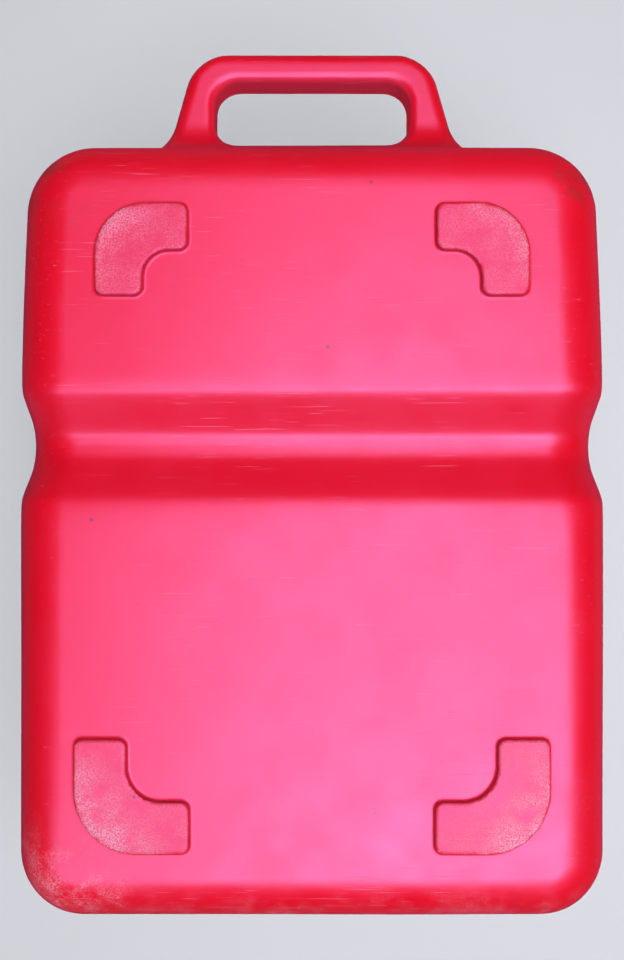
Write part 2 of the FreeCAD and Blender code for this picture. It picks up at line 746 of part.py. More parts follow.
def outlet_spigot():
    """The male fuel-line spigot, screwed into the outlet. It has a latch groove near its tip."""
    x, z = PICKUP.x, OUTLET_Z
    hex_back_y = BOSS_FACE_Y - OUTLET_WASHER_H
    thread = lying_cylinder(x, z, SPIGOT_R, BOSS_FACE_Y + 8, hex_back_y)
    nut = hexagon(x, z, HEX_FLATS, hex_back_y, HEX_FRONT_Y)
    spigot = lying_cylinder(x, z, SPIGOT_R, HEX_FRONT_Y, SPIGOT_TIP_Y)
    tip = spigot.makeChamfer(
        0.8, [e for e in spigot.Edges if abs(e.CenterOfMass.y - SPIGOT_TIP_Y) < 0.1]
    )
    solid = fuse_all([thread, nut, tip])
    groove_front = SPIGOT_TIP_Y + 2.6
    groove_back = groove_front + LATCH_GROOVE
    groove = lying_cylinder(x, z, SPIGOT_R + 1, groove_back, groove_front)
    groove = groove.cut(lying_cylinder(x, z, SPIGOT_R - LATCH_DEPTH, groove_back + 1, groove_front - 1))
    solid = solid.cut(groove)
    solid = solid.cut(lying_cylinder(x, z, SPIGOT_BORE_R, BOSS_FACE_Y + 9, SPIGOT_TIP_Y - 1))
    return solid.cut(lying_cylinder(x, z, CHAMBER_R, SPRING_BACK_Y, VALVE_SEAT_Y))


def outlet_washer():
    x, z = PICKUP.x, OUTLET_Z
    disc = lying_cylinder(x, z, OUTLET_WASHER_R, BOSS_FACE_Y, BOSS_FACE_Y - OUTLET_WASHER_H)
    return disc.cut(lying_cylinder(x, z, SPIGOT_R + 0.1, BOSS_FACE_Y + 1, BOSS_FACE_Y - 3))


def check_valve():
    """The spring-loaded pin that a fuel-line connector pushes in."""
    x, z = PICKUP.x, OUTLET_Z
    stem = lying_cylinder(x, z, 2.0, VALVE_SEAT_Y + VALVE_COLLAR, SPIGOT_TIP_Y - 1.5)
    collar = lying_cylinder(x, z, CHAMBER_R - 0.4, VALVE_SEAT_Y + VALVE_COLLAR, VALVE_SEAT_Y)
    return fuse_all([stem, collar])


def valve_spring():
    x, z = PICKUP.x, OUTLET_Z
    gap = SPRING_WIRE_R + 0.1
    front = VALVE_SEAT_Y + VALVE_COLLAR + gap
    length = SPRING_BACK_Y - gap - front
    helix = Part.makeHelix(length / SPRING_TURNS, length, SPRING_COIL_R)
    circle = Part.Wire([Part.Circle(V(SPRING_COIL_R, 0, 0), V(0, 1, 0), SPRING_WIRE_R).toShape()])
    spring = Part.Wire(helix.Edges).makePipeShell([circle], True, True)
    spring.rotate(V(0, 0, 0), V(1, 0, 0), -90)
    spring.translate(V(x, front, z))
    return spring


PARTS = {
    "tank_shell": tank_shell,
    "filler_cap": filler_cap,
    "cap_gasket": cap_gasket,
    "vent_screw": vent_screw,
    "vent_seal": vent_seal,
    "unit_gasket": unit_gasket,
    "unit_flange": unit_flange,
    "flange_screws": flange_screws,
    "flange_washers": flange_washers,
    "thread_inserts": thread_inserts,
    "gauge_dial": gauge_dial,
    "gauge_pointer": gauge_pointer,
    "gauge_lens": gauge_lens,
    "gauge_bezel": gauge_bezel,
    "spindle_ribbon": spindle_ribbon,
    "guide_rods": guide_rods,
    "cage_foot": cage_foot,
    "float_carrier": float_carrier,
    "float_body": float_body,
    "pickup_tube": pickup_tube,
    "pickup_strainer": pickup_strainer,
    "outlet_spigot": outlet_spigot,
    "outlet_washer": outlet_washer,
    "check_valve": check_valve,
    "valve_spring": valve_spring,
}


def main():
    os.makedirs("parts", exist_ok=True)
    for name, make in PARTS.items():
        made = make()
        shape = Part.makeCompound(made) if isinstance(made, list) else made
        shape.exportStep(f"parts/{name}.step")
        box = shape.BoundBox
        print(f"{name}: {len(shape.Solids)} solids, valid {shape.isValid()}, {shape.Volume:.0f} mm3, {box}")
    print(f"capacity {body(WALL).Volume / 1e6:.1f} litres")


main()
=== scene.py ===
"""Looks for the portable fuel tank: the moulded red shell, its fittings, the stage and the light.

Everything is in metres in the CAD model's frame: +Z up, origin under the middle of the tank on the plane
that its four pads stand on, carrying handle towards -Y. The camera looks up at the underside.
"""

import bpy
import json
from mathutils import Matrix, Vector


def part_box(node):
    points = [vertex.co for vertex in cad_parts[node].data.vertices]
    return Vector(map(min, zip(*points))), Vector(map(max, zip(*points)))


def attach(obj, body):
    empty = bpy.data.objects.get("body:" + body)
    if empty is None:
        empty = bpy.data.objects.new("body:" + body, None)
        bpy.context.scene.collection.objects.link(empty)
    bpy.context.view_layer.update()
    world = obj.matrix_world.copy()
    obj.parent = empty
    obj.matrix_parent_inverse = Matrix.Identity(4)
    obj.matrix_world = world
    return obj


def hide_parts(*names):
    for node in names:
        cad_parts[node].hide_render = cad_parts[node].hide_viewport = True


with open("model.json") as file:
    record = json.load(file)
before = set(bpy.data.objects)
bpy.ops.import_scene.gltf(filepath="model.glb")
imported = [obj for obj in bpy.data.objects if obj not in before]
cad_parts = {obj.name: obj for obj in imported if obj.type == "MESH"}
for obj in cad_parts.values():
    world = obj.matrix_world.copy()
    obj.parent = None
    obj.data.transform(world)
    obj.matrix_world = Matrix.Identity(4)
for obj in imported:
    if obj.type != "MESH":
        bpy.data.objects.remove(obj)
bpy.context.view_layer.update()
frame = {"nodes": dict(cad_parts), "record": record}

import json
import math

import bmesh
import bpy
import numpy as np
from mathutils import Vector

MM = 0.001

# ---- the shell's sizes, which follow the CAD model ----
LENGTH = 534 * MM
WIDTH = 353.5 * MM
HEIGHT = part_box("tank_shell")[1].z
DECK_Z = 140 * MM
FOOT_H = 4 * MM
WALL = 3.5 * MM
Y_REAR = LENGTH / 2
Y_FRONT = -LENGTH / 2 + 69.8 * MM
PLAN_R = 41 * MM
EDGE_R = 33 * MM
FRONT_TAPER = 9 * MM

CHANNEL_Y = -15.8 * MM
CHANNEL_HALF_TOP = 32 * MM
CHANNEL_HALF_FLOOR = 6 * MM
CHANNEL_DEPTH = 18 * MM
SIDE_DEPTH = 3.5 * MM
SIDE_HALF_FLOOR = 15 * MM
TOP_CHANNEL_DEPTH = 12 * MM
STEP_RUN = 36 * MM
STEP_AFTER_FLOOR = 3 * MM

GRIP_WIDTH = 19 * MM
GRIP_THICK = 26 * MM
GRIP_Z = 66 * MM
GRIP_ROUND = 9 * MM
GRIP_CORNER_R = 20 * MM
HANDLE_HALF = 80 * MM
LEG_LEAN = math.radians(16)
FLARE_R = 24 * MM
HOLE_HALF = 61.6 * MM
HOLE_CORNER_R = 15 * MM
HOLE_ROUND = 6 * MM
WEB = 9.8 * MM

FRONT_PAD = {"size": 53 * MM, "arm": 27 * MM, "x": 124.5 * MM, "y": -154.5 * MM, "to_y": 1}
REAR_PAD = {"size": 66 * MM, "arm": 30 * MM, "x": 136.5 * MM, "y": 219 * MM, "to_y": -1}
PADS_MIDDLE_Y = 30 * MM
PAD_OUTER_SHARE = 0.55
PAD_INNER_SHARE = 0.3
PAD_TIP_R = 5 * MM
PAD_RIM_R = 1.6 * MM

FILLER = Vector((-82, -112, 0)) * MM
UNIT = Vector((82, -112, 0)) * MM
NECK_R = 33 * MM
NECK_BORE_R = 28 * MM
NECK_TOP = 158 * MM
THREAD_LEAD = 12 * MM
THREAD_DEPTH = 2 * MM
THREAD_LOW = 143 * MM
THREAD_HEIGHT = 9 * MM
THREAD_BURIED = 0.6 * MM
RIDGE_ROOT = 2.4 * MM
RIDGE_CREST = 1.4 * MM
UNIT_HOLE_R = 30 * MM
BOSS_R = 47 * MM
BOSS_LOW = 129 * MM
BOSS_TOP = 143 * MM

# ---- shell details that only show in the finer mesh ----
CHANNEL_SOFT = 0.16  # how round the channel's bends are, as a share of its slope
STEP_SOFT = 0.12
TAPER_PACE = 0.6  # how much of the taper's curve the front part uses
HANDLE_BURIED = 20 * MM
WAVE_DEPTH = 0.35 * MM
WAVE_FROM_Z = 1.5 * MM
WAVE_FADE = 4 * MM
HOLE_CUT_BELOW = 12 * MM
HOLE_CUT_ABOVE = 30 * MM

# ---- neck, thread and boss details ----
NECK_LIP = 1.2 * MM
NECK_ROOT = 3.5 * MM
NECK_ROOT_SUNK = 0.4 * MM
BOSS_LIP = 1.0 * MM
BOSS_ROOT = 2 * MM
BOSS_ROOT_SUNK = 0.4 * MM
CREST_SHY = 0.05 * MM
CREST_BEVEL = 0.3 * MM
THREAD_FADE = 12  # a ridge rises over one twelfth of its length
THREAD_STEPS = 90
THREAD_STARTS = 2


# ---------------- the shell as a distance field ----------------


def ramp(u):
    u = np.clip(u, 0.0, 1.0)
    return 0.5 - 0.5 * np.cos(np.pi * u)


def soft_step(u, softness):
    """0 below u = 0 and 1 above u = 1, straight between, with both bends rounded."""

    def bend(t):
        return 0.5 * (t + np.sqrt(t * t + softness * softness))

    return bend(u) - bend(u - 1.0)


def round_max(a, b, r):
    """Both a and b, with the edge between them rounded to radius r."""
    inside = np.minimum(-r, np.maximum(a, b))
    return inside + np.hypot(np.maximum(a + r, 0.0), np.maximum(b + r, 0.0))


def round_min(a, b, r):
    """Either a or b, with a fillet of radius r between them."""
    return -round_max(-a, -b, r)


def channel_share(y, half_top, half_floor):
    """1 on the channel's floor and 0 outside the channel."""
    return soft_step((half_top - np.abs(y - CHANNEL_Y)) / (half_top - half_floor), CHANNEL_SOFT)


def half_width(y):
    taper = FRONT_TAPER * ramp((CHANNEL_Y - y) / (CHANNEL_Y - Y_FRONT) * TAPER_PACE)
    return WIDTH / 2 - taper - SIDE_DEPTH * channel_share(y, CHANNEL_HALF_TOP, SIDE_HALF_FLOOR)


def underside(y):
    return FOOT_H + CHANNEL_DEPTH * channel_share(y, CHANNEL_HALF_TOP, CHANNEL_HALF_FLOOR)


def topside(y):
    floor = DECK_Z - TOP_CHANNEL_DEPTH
    front = DECK_Z - TOP_CHANNEL_DEPTH * channel_share(y, CHANNEL_HALF_TOP, SIDE_HALF_FLOOR)
    risen = soft_step((y - CHANNEL_Y - SIDE_HALF_FLOOR - STEP_AFTER_FLOOR) / STEP_RUN, STEP_SOFT)
    hump = floor + (HEIGHT - floor) * risen
    return np.where(y < CHANNEL_Y, front, hump)


def box_2d(a, b, half_a, half_b, r):
    """Distance to a rectangle centred on the origin with corners of radius r."""
    qa, qb = np.abs(a) - half_a + r, np.abs(b) - half_b + r
    return np.hypot(np.maximum(qa, 0), np.maximum(qb, 0)) + np.minimum(np.maximum(qa, qb), 0) - r


def body_field(p, inset=0.0):
    """The tank's body, without its handle and pads."""
    x, y, z = p
    low, high = underside(y) + inset, topside(y) - inset
    middle, reach = (Y_FRONT + Y_REAR) / 2, (Y_REAR - Y_FRONT) / 2
    side = np.abs(x) - half_width(y) + inset
    end = np.abs(y - middle) - reach + inset
    plan = round_max(side, end, PLAN_R - inset)
    level = np.maximum(low - z, z - high)
    return round_max(plan, level, EDGE_R - inset)


def handle_field(p, inset=0.0):
    """The carrying handle as a solid plate, buried in the body's front wall."""
    x, y, z = p
    leg = (np.abs(x) - HANDLE_HALF - np.tan(LEG_LEAN) * (y + LENGTH / 2 - GRIP_CORNER_R)) * np.cos(LEG_LEAN)
    plan = round_max(leg, -LENGTH / 2 - y, GRIP_CORNER_R) + inset
    plan = np.maximum(plan, y - (Y_FRONT + HANDLE_BURIED))
    level = np.abs(z - GRIP_Z) - GRIP_THICK / 2 + inset
    return round_max(plan, level, GRIP_ROUND)


def hole_field(p, inset=0.0):
    """The hand hole, without ends in Z."""
    x, y, _ = p
    far, near = -LENGTH / 2 + GRIP_WIDTH - inset, Y_FRONT - WEB + inset
    return box_2d(x, y - (far + near) / 2, HOLE_HALF + inset, (near - far) / 2, HOLE_CORNER_R + inset)


def pad_field(p, pad):
    """One L-shaped pad on each side, its big round corner outwards."""
    x, y, z = p
    s, w = pad["size"], pad["arm"]
    outer, inner = PAD_OUTER_SHARE * s, PAD_INNER_SHARE * s
    a, b = pad["x"] - np.abs(x), (y - pad["y"]) * pad["to_y"]
    plan = box_2d(a - s / 2, b - s / 2, s / 2, s / 2, PAD_TIP_R)
    plan = np.maximum(plan, round_max(-a, -b, outer))
    plan = round_max(plan, -round_max(w - a, w - b, inner), PAD_TIP_R)
    level = np.maximum(-z, z - 2 * FOOT_H)
    return round_max(plan, level, PAD_RIM_R)


def outer_field(p):
    x, y, z = p
    d = round_min(body_field(p), handle_field(p), FLARE_R)
    d = round_max(d, -hole_field(p), HOLE_ROUND)
    for pad in (FRONT_PAD, REAR_PAD):
        d = round_min(d, pad_field(p, pad), PAD_RIM_R)
    # a moulded face is never quite flat
    long_wave = np.sin(x * 21 + 0.6) * np.sin(y * 17 + 1.1)
    short_wave = np.sin(x * 43 - 0.8) * np.sin(y * 37 + 0.4)
    wave = long_wave + 0.5 * short_wave
    above_pads = np.clip((z - WAVE_FROM_Z) / WAVE_FADE, 0.0, 1.0)
    return d + WAVE_DEPTH * (wave * 0.5 + 0.5) * above_pads


def inner_field(p):
    """The space inside the shell, which goes round through the handle."""
    body = body_field(p, WALL)
    grip = round_max(handle_field(p, WALL), -hole_field(p, WALL), HOLE_ROUND)
    return round_min(body, grip, FLARE_R / 2)


def spaced(*spans):
    """Grid places: each span is (from, to, step)."""
    places = []
    for low, high, step in spans:
        count = max(1, round((high - low) / step))
        places += [low + (high - low) * i / count for i in range(count)]
    return np.array(places + [spans[-1][1]]) * MM


def mirrored(*spans):
    """The same places on both sides of 0."""
    half = spaced(*spans)
    return np.concatenate([-half[:0:-1], half])


def surface_nets(field, xs, ys, zs):
    """Vertices and quads of field = 0 on a grid of places, the quads facing outwards."""
    grid = np.meshgrid(xs, ys, zs, indexing="ij")
    d = field(grid)
    inside = d < 0
    shape = np.array(d.shape) - 1
    corners = [(i, j, k) for i in (0, 1) for j in (0, 1) for k in (0, 1)]

    def corner(a, c):
        return a[c[0]: c[0] + shape[0], c[1]: c[1] + shape[1], c[2]: c[2] + shape[2]]

    count = sum(corner(inside, c).astype(np.int8) for c in corners)
    cells = np.argwhere((count > 0) & (count < 8))
    index = -np.ones(shape, int)
    index[tuple(cells.T)] = np.arange(len(cells))
    total, crossings = np.zeros((len(cells), 3)), np.zeros(len(cells))
    for first in corners:
        for axis in range(3):
            if first[axis]:
                continue
            second = list(first)
            second[axis] = 1
            a, b = cells + first, cells + second
            da, db = d[tuple(a.T)], d[tuple(b.T)]
            crosses = (da < 0) != (db < 0)
            share = np.where(crosses, da / np.where(crosses, da - db, 1.0), 0.0)
            pa = np.stack([xs[a[:, 0]], ys[a[:, 1]], zs[a[:, 2]]], 1)
            pb = np.stack([xs[b[:, 0]], ys[b[:, 1]], zs[b[:, 2]]], 1)
            total += np.where(crosses[:, None], pa + (pb - pa) * share[:, None], 0.0)
            crossings += crosses
    verts = total / crossings[:, None]

    quads = []
    for axis in range(3):
        step = [0, 0, 0]
        step[axis] = 1
        u, v = [a for a in range(3) if a != axis]
        low = inside[tuple(slice(0, -1) if a == axis else slice(1, -1) for a in range(3))]
        high = inside[tuple(slice(1, None) if a == axis else slice(1, -1) for a in range(3))]
        places = np.argwhere(low != high)
        leaving = low[tuple(places.T)]
        base = places.copy()
        base[:, u] += 1
        base[:, v] += 1
        ring = []
        for du, dv in ((-1, -1), (0, -1), (0, 0), (-1, 0)):
            cell = base.copy()
            cell[:, u] += du
            cell[:, v] += dv
            ring.append(index[tuple(cell.T)])
        ring = np.stack(ring, 1)
        flip = leaving if axis == 1 else ~leaving
        ring[flip] = ring[flip][:, ::-1]
        quads.append(ring)
    return verts, np.concatenate(quads)


def gradient(field, verts, reach=0.2 * MM):
    """The field's slope at each vertex."""
    g = np.zeros_like(verts)
    for axis in range(3):
        step = np.zeros(3)
        step[axis] = reach
        g[:, axis] = (field((verts + step).T) - field((verts - step).T)) / (2 * reach)
    return g


def onto_surface(field, verts, rounds=4):
    """The vertices moved along the slope to where the field is 0."""
    for _ in range(rounds):
        g = gradient(field, verts)
        slope = np.maximum((g * g).sum(1), 0.05)
        verts = verts - g * (np.clip(field(verts.T), -3 * MM, 3 * MM) / slope)[:, None]
    return verts


def mesh_object(name, verts, faces):
    mesh = bpy.data.meshes.new(name)
    mesh.from_pydata([tuple(v) for v in verts], [], [tuple(f) for f in faces])
    mesh.validate()
    obj = bpy.data.objects.new(name, mesh)
    bpy.context.scene.collection.objects.link(obj)
    return obj


def field_object(name, field, xs, ys, zs):
    verts, quads = surface_nets(field, xs, ys, zs)
    return mesh_object(name, onto_surface(field, verts), quads)


def prism(name, centre, radius, low, high, count=96):
    """A closed upright cylinder."""
    turns = [2 * math.pi * i / count for i in range(count)]
    ring = [(centre.x + radius * math.cos(t), centre.y + radius * math.sin(t)) for t in turns]
    verts = [(x, y, z) for z in (low, high) for x, y in ring]
    faces = [(i, (i + 1) % count, count + (i + 1) % count, count + i) for i in range(count)]
    faces += [tuple(reversed(range(count))), tuple(range(count, 2 * count))]
    return mesh_object(name, verts, faces)


def cut_out(obj, tool):
    """obj less tool, applied at once."""
    cut = obj.modifiers.new("cut", "BOOLEAN")
    cut.operation = "DIFFERENCE"
    cut.solver = "MANIFOLD"
    cut.object = tool
    made = bpy.data.meshes.new_from_object(obj.evaluated_get(bpy.context.evaluated_depsgraph_get()))
    obj.modifiers.clear()
    obj.data = made
    bpy.data.objects.remove(tool)


def shade_by_fields(obj, outer, inner, sharpest=35.0):
    """Smooth normals from the two fields, except on cut faces, which keep their own."""
    mesh = obj.data
    mesh.polygons.foreach_set("use_smooth", [True] * len(mesh.polygons))
    co = np.zeros(len(mesh.vertices) * 3)
    mesh.vertices.foreach_get("co", co)
    co = co.reshape(-1, 3)
    out = gradient(outer, co, 0.5 * MM)
    inn = -gradient(inner, co, 0.5 * MM)
    own = np.abs(outer(co.T)) < np.abs(inner(co.T))
    soft = np.where(own[:, None], out, inn)
    soft /= np.maximum(np.linalg.norm(soft, axis=1), 1e-9)[:, None]
    loop_vert = np.zeros(len(mesh.loops), int)
    mesh.loops.foreach_get("vertex_index", loop_vert)
    flat = np.zeros(len(mesh.polygons) * 3)
    mesh.polygons.foreach_get("normal", flat)
    sizes = np.zeros(len(mesh.polygons), int)
    mesh.polygons.foreach_get("loop_total", sizes)
    face_normal = np.repeat(flat.reshape(-1, 3), sizes, axis=0)
    wanted = soft[loop_vert]
    agrees = (wanted * face_normal).sum(1) > math.cos(math.radians(sharpest))
    mesh.normals_split_custom_set([tuple(n) for n in np.where(agrees[:, None], wanted, face_normal)])


# ---------------- materials ----------------


class Nodes:
    """Short names for building a node material."""

    def __init__(self, name):
        self.material = bpy.data.materials.new(name)
        self.material.use_nodes = True
        self.tree = self.material.node_tree
        self.shader = self.tree.nodes["Principled BSDF"]
        self.place = self.tree.nodes.new("ShaderNodeTexCoord").outputs["Object"]

    def set(self, **values):
        for key, value in values.items():
            self.shader.inputs[key.replace("_", " ")].default_value = value
        return self

    def link(self, output, socket):
        self.tree.links.new(output, socket)
        return output

    def math(self, operation, a, b=0.0, clamp=False):
        node = self.tree.nodes.new("ShaderNodeMath")
        node.operation = operation
        node.use_clamp = clamp
        for socket, value in zip(node.inputs, (a, b)):
            if isinstance(value, (int, float)):
                socket.default_value = value
            else:
                self.link(value, socket)
        return node.outputs[0]

    def times(self, a, b):
        return self.math("MULTIPLY", a, b)

    def stretched(self, scale, turn=0.0, shift=(0, 0, 0)):
        node = self.tree.nodes.new("ShaderNodeMapping")
        node.inputs["Scale"].default_value = scale
        node.inputs["Rotation"].default_value = (0, 0, turn)
        node.inputs["Location"].default_value = shift
        self.link(self.place, node.inputs["Vector"])
        return node.outputs[0]

    def noise(self, scale, detail=3.0, rough=0.55, place=None):
        node = self.tree.nodes.new("ShaderNodeTexNoise")
        node.inputs["Scale"].default_value = scale
        node.inputs["Detail"].default_value = detail
        node.inputs["Roughness"].default_value = rough
        self.link(place or self.place, node.inputs["Vector"])
        return node.outputs["Fac"]

    def band(self, value, low, high, out_low=0.0, out_high=1.0):
        """value from low to high, smoothly, as out_low to out_high."""
        node = self.tree.nodes.new("ShaderNodeMapRange")
        node.interpolation_type = "SMOOTHSTEP"
        limits = {"From Min": low, "From Max": high, "To Min": out_low, "To Max": out_high}
        for key, number in limits.items():
            node.inputs[key].default_value = number
        self.link(value, node.inputs["Value"])
        return node.outputs[0]

    def axis(self, letter):
        node = self.tree.nodes.new("ShaderNodeSeparateXYZ")
        self.link(self.place, node.inputs[0])
        return node.outputs[letter]

    def mix(self, share, a, b):
        """Colour a turning into colour b."""
        node = self.tree.nodes.new("ShaderNodeMix")
        node.data_type = "RGBA"
        colours = [s for s in node.inputs if s.type == "RGBA"]
        for socket, value in zip(colours, (a, b)):
            if isinstance(value, tuple):
                socket.default_value = (*value, 1.0)
            else:
                self.link(value, socket)
        factor = node.inputs[0]
        if isinstance(share, (int, float)):
            factor.default_value = share
        else:
            self.link(share, factor)
        return [s for s in node.outputs if s.type == "RGBA"][0]

    def blend(self, share, a, b):
        """Shader a turning into shader b."""
        node = self.tree.nodes.new("ShaderNodeMixShader")
        for socket, output in zip(node.inputs, (share, a, b)):
            self.link(output, socket)
        return node.outputs[0]

    def show(self, shader):
        self.link(shader, self.tree.nodes["Material Output"].inputs["Surface"])

    def bump(self, height, distance, strength=1.0, under=None):
        node = self.tree.nodes.new("ShaderNodeBump")
        node.inputs["Strength"].default_value = strength
        node.inputs["Distance"].default_value = distance
        self.link(height, node.inputs["Height"])
        if under is not None:
            self.link(under, node.inputs["Normal"])
        return node.outputs[0]

    def finish(self, colour=None, rough=None, normal=None):
        for key, output in (("Base Color", colour), ("Roughness", rough), ("Normal", normal)):
            if output is not None:
                self.link(output, self.shader.inputs[key])
        return self.material


def scratches(m):
    """Long thin streaks in a few directions, each kind in patches of its own."""
    streaks = None
    for turn, seed in ((0.35, 1.0), (-0.9, 5.0), (1.45, 9.0), (2.3, 13.0)):
        line = m.noise(1.0, 2.0, 0.5, m.stretched((24, 1100, 700), turn, (seed, seed, 0)))
        line = m.band(line, 0.68, 0.75)
        place = m.stretched((1, 1, 1), 0.0, (seed, 0, seed))
        patch = m.band(m.noise(9.0, 2.0, 0.5, place), 0.48, 0.60)
        line = m.times(line, patch)
        streaks = line if streaks is None else m.math("MAXIMUM", streaks, line)
    return streaks


def pad_wear(m, pad_face, cloud, grain):
    """The pads are rubbed pale, most of all round their outer arcs."""
    out_x = m.math("ABSOLUTE", m.axis("X"))
    out_y = m.math("ABSOLUTE", m.math("SUBTRACT", m.axis("Y"), PADS_MIDDLE_Y))
    outward = m.band(m.math("ADD", out_x, m.times(out_y, 0.75)), 0.215, 0.262)
    worn = m.times(m.band(cloud, 0.30, 0.66), m.band(grain, 0.38, 0.60))
    return m.times(m.times(worn, pad_face), m.math("ADD", m.times(outward, 0.8), 0.2))


def edge_chafe(m, cloud, grain):
    """Chafing along the lower rear edge, worst at its left corner."""
    x, y = m.axis("X"), m.axis("Y")
    low_edge = m.band(m.axis("Z"), 0.050, 0.010)
    rear_edge = m.times(m.band(y, 0.232, 0.262), low_edge)
    left_corner = m.times(m.band(x, -0.09, -0.15), m.band(y, 0.19, 0.24))
    chafe = m.math("ADD", m.times(rear_edge, 0.55), m.times(left_corner, low_edge))
    return m.times(chafe, m.times(m.band(cloud, 0.42, 0.70), m.band(grain, 0.40, 0.62)))


def corner_dirt_and_channel_end_shade(m):
    """Brown dirt on the front corners, and painted shade in the same brown in the channel's concave ends.
    """
    y = m.axis("Y")
    wide = m.math("ABSOLUTE", m.axis("X"))
    from_channel = m.math("ABSOLUTE", m.math("ADD", y, 0.012))
    corner = m.times(m.band(wide, 0.110, 0.165), m.band(y, -0.130, -0.175))
    # painted shade: the channel's concave ends at the sides are darkened as if in shadow, not dirtied
    channel_end_shade = m.times(m.band(wide, 0.160, 0.173), m.band(from_channel, 0.040, 0.020))
    dirt_and_painted_shade = m.math("MAXIMUM", corner, m.times(channel_end_shade, 0.8))
    return m.times(dirt_and_painted_shade, m.band(m.noise(55.0, 5.0, 0.7), 0.46, 0.66))


def grip_smudge(m):
    """Grey smudges on the grip's underside."""
    grip = m.times(m.band(m.axis("Y"), -0.246, -0.254), m.band(m.axis("Z"), 0.066, 0.058))
    return m.times(grip, m.band(m.noise(1.0, 4.0, 0.6, m.stretched((45, 150, 45))), 0.60, 0.70))


def dark_specks(m):
    cells = m.tree.nodes.new("ShaderNodeTexVoronoi")
    cells.inputs["Scale"].default_value = 42.0
    m.link(m.place, cells.inputs["Vector"])
    return m.times(m.band(cells.outputs["Distance"], 0.05, 0.035), m.band(m.noise(14.0, 2.0), 0.50, 0.56))


def facing_down_and_out(m):
    """1 on the shell's lower edges, 0 on its underside and on everything that faces up."""
    tilt = m.tree.nodes.new("ShaderNodeSeparateXYZ")
    m.link(m.tree.nodes.new("ShaderNodeTexCoord").outputs["Normal"], tilt.inputs[0])
    up = tilt.outputs["Z"]
    return m.times(m.band(up, -0.80, -0.50), m.band(up, 0.25, -0.05))


def red_shell_material():
    """Moulded polyethylene: satin red, scratched, scuffed on its pads, dirty at its front corners, with
    painted shade in the channel's ends.
    """
    m = Nodes("red_shell").set(IOR=1.5, Specular_IOR_Level=1.0, Specular_Tint=(0.71, 0.41, 0.90, 1.0))
    z = m.axis("Z")
    streaks = scratches(m)
    grain = m.noise(1000.0, 4.0, 0.7)
    cloud = m.noise(60.0, 5.0, 0.65)
    pad_face = m.band(z, 1.6 * MM, 0.4 * MM)
    worn = pad_wear(m, pad_face, cloud, grain)
    abrasion = m.math("ADD", worn, m.times(edge_chafe(m, cloud, grain), 0.5), clamp=True)

    colour = m.mix(m.noise(9.0, 3.0), (0.74, 0.0010, 0.015), (0.66, 0.0008, 0.010))
    colour = m.mix(m.times(streaks, 0.22), colour, (0.95, 0.34, 0.46))
    colour = m.mix(m.times(pad_face, 0.35), colour, (0.55, 0.01, 0.045))
    colour = m.mix(m.times(abrasion, 0.75), colour, (0.82, 0.52, 0.66))
    # brown dirt on the front corners, and painted shade darkening the channel's concave ends
    colour = m.mix(m.times(corner_dirt_and_channel_end_shade(m), 0.5), colour, (0.13, 0.030, 0.014))
    colour = m.mix(m.times(grip_smudge(m), 0.45), colour, (0.12, 0.04, 0.06))
    colour = m.mix(m.times(dark_specks(m), 0.7), colour, (0.10, 0.012, 0.012))

    # the lower edges carry a film of dust and shine least
    rough = m.band(m.noise(30.0, 4.0), 0.25, 0.75, 0.33, 0.42)
    for share, amount in ((abrasion, 0.3), (pad_face, 0.12), (facing_down_and_out(m), 0.5)):
        rough = m.math("ADD", rough, m.times(share, amount), clamp=True)

    seam = m.band(m.math("ABSOLUTE", m.math("SUBTRACT", z, GRIP_Z)), 0.8 * MM, 0.2 * MM)
    normal = m.bump(m.noise(700.0, 2.0), 0.00003)
    normal = m.bump(m.noise(26.0, 2.0), 0.0007, 0.4, normal)
    normal = m.bump(seam, 0.0002, 0.7, normal)
    normal = m.bump(m.times(streaks, -1.0), 0.0001, 0.6, normal)
    normal = m.bump(m.times(worn, grain), 0.0003, 0.8, normal)
    return m.finish(colour, rough, normal)


PALE_WEAR = (0.35, 0.35, 0.35)


def plastic_material(name, colour, rough, grain_scale=900.0, grain_depth=0.00004, wear=PALE_WEAR):
    """Moulded plastic with a fine grain, handling marks and a little dust."""
    m = Nodes(name).set(IOR=1.5)
    cloud = m.noise(60.0, 4.0, 0.6)
    lines = m.noise(1.0, 2.0, 0.5, m.stretched((90, 1400, 90), 0.7))
    marks = m.times(m.band(lines, 0.68, 0.75), 0.25)
    tint = m.mix(m.band(cloud, 0.45, 0.85, 0.0, 0.08), colour, wear)
    tint = m.mix(marks, tint, wear)
    roughness = m.band(cloud, 0.3, 0.7, rough - 0.06, rough + 0.08)
    return m.finish(tint, roughness, m.bump(m.noise(grain_scale, 2.0), grain_depth))


def rubber_material(name):
    """Matt black rubber with a little bloom."""
    m = Nodes(name).set(IOR=1.5)
    cloud = m.noise(80.0, 4.0)
    colour = m.mix(m.band(cloud, 0.35, 0.75), (0.022, 0.022, 0.023), (0.06, 0.058, 0.055))
    return m.finish(colour, m.band(cloud, 0.3, 0.7, 0.68, 0.85), m.bump(m.noise(1200.0, 3.0), 0.00004))


def metal_material(name, colour, rough, stain=(0.2, 0.16, 0.1), lines=(40, 40, 2600)):
    """Metal with machining lines and light stains."""
    m = Nodes(name).set(Metallic=1.0)
    cloud = m.noise(120.0, 4.0, 0.65)
    tint = m.mix(m.band(cloud, 0.55, 0.85, 0.0, 0.45), colour, stain)
    turned = m.noise(1.0, 2.0, 0.5, m.stretched(lines))
    roughness = m.band(cloud, 0.3, 0.75, rough, rough + 0.18)
    return m.finish(tint, roughness, m.bump(turned, 0.00002, 0.6))


def window_material():
    """Clear acrylic with fine wiping scratches."""
    m = Nodes("clear_window").set(IOR=1.49, Transmission_Weight=1.0, Base_Color=(0.97, 0.98, 0.98, 1.0))
    wipes = m.band(m.noise(1.0, 2.0, 0.5, m.stretched((120, 2600, 120), 0.5)), 0.66, 0.74)
    return m.finish(None, m.times(wipes, 0.25), None)


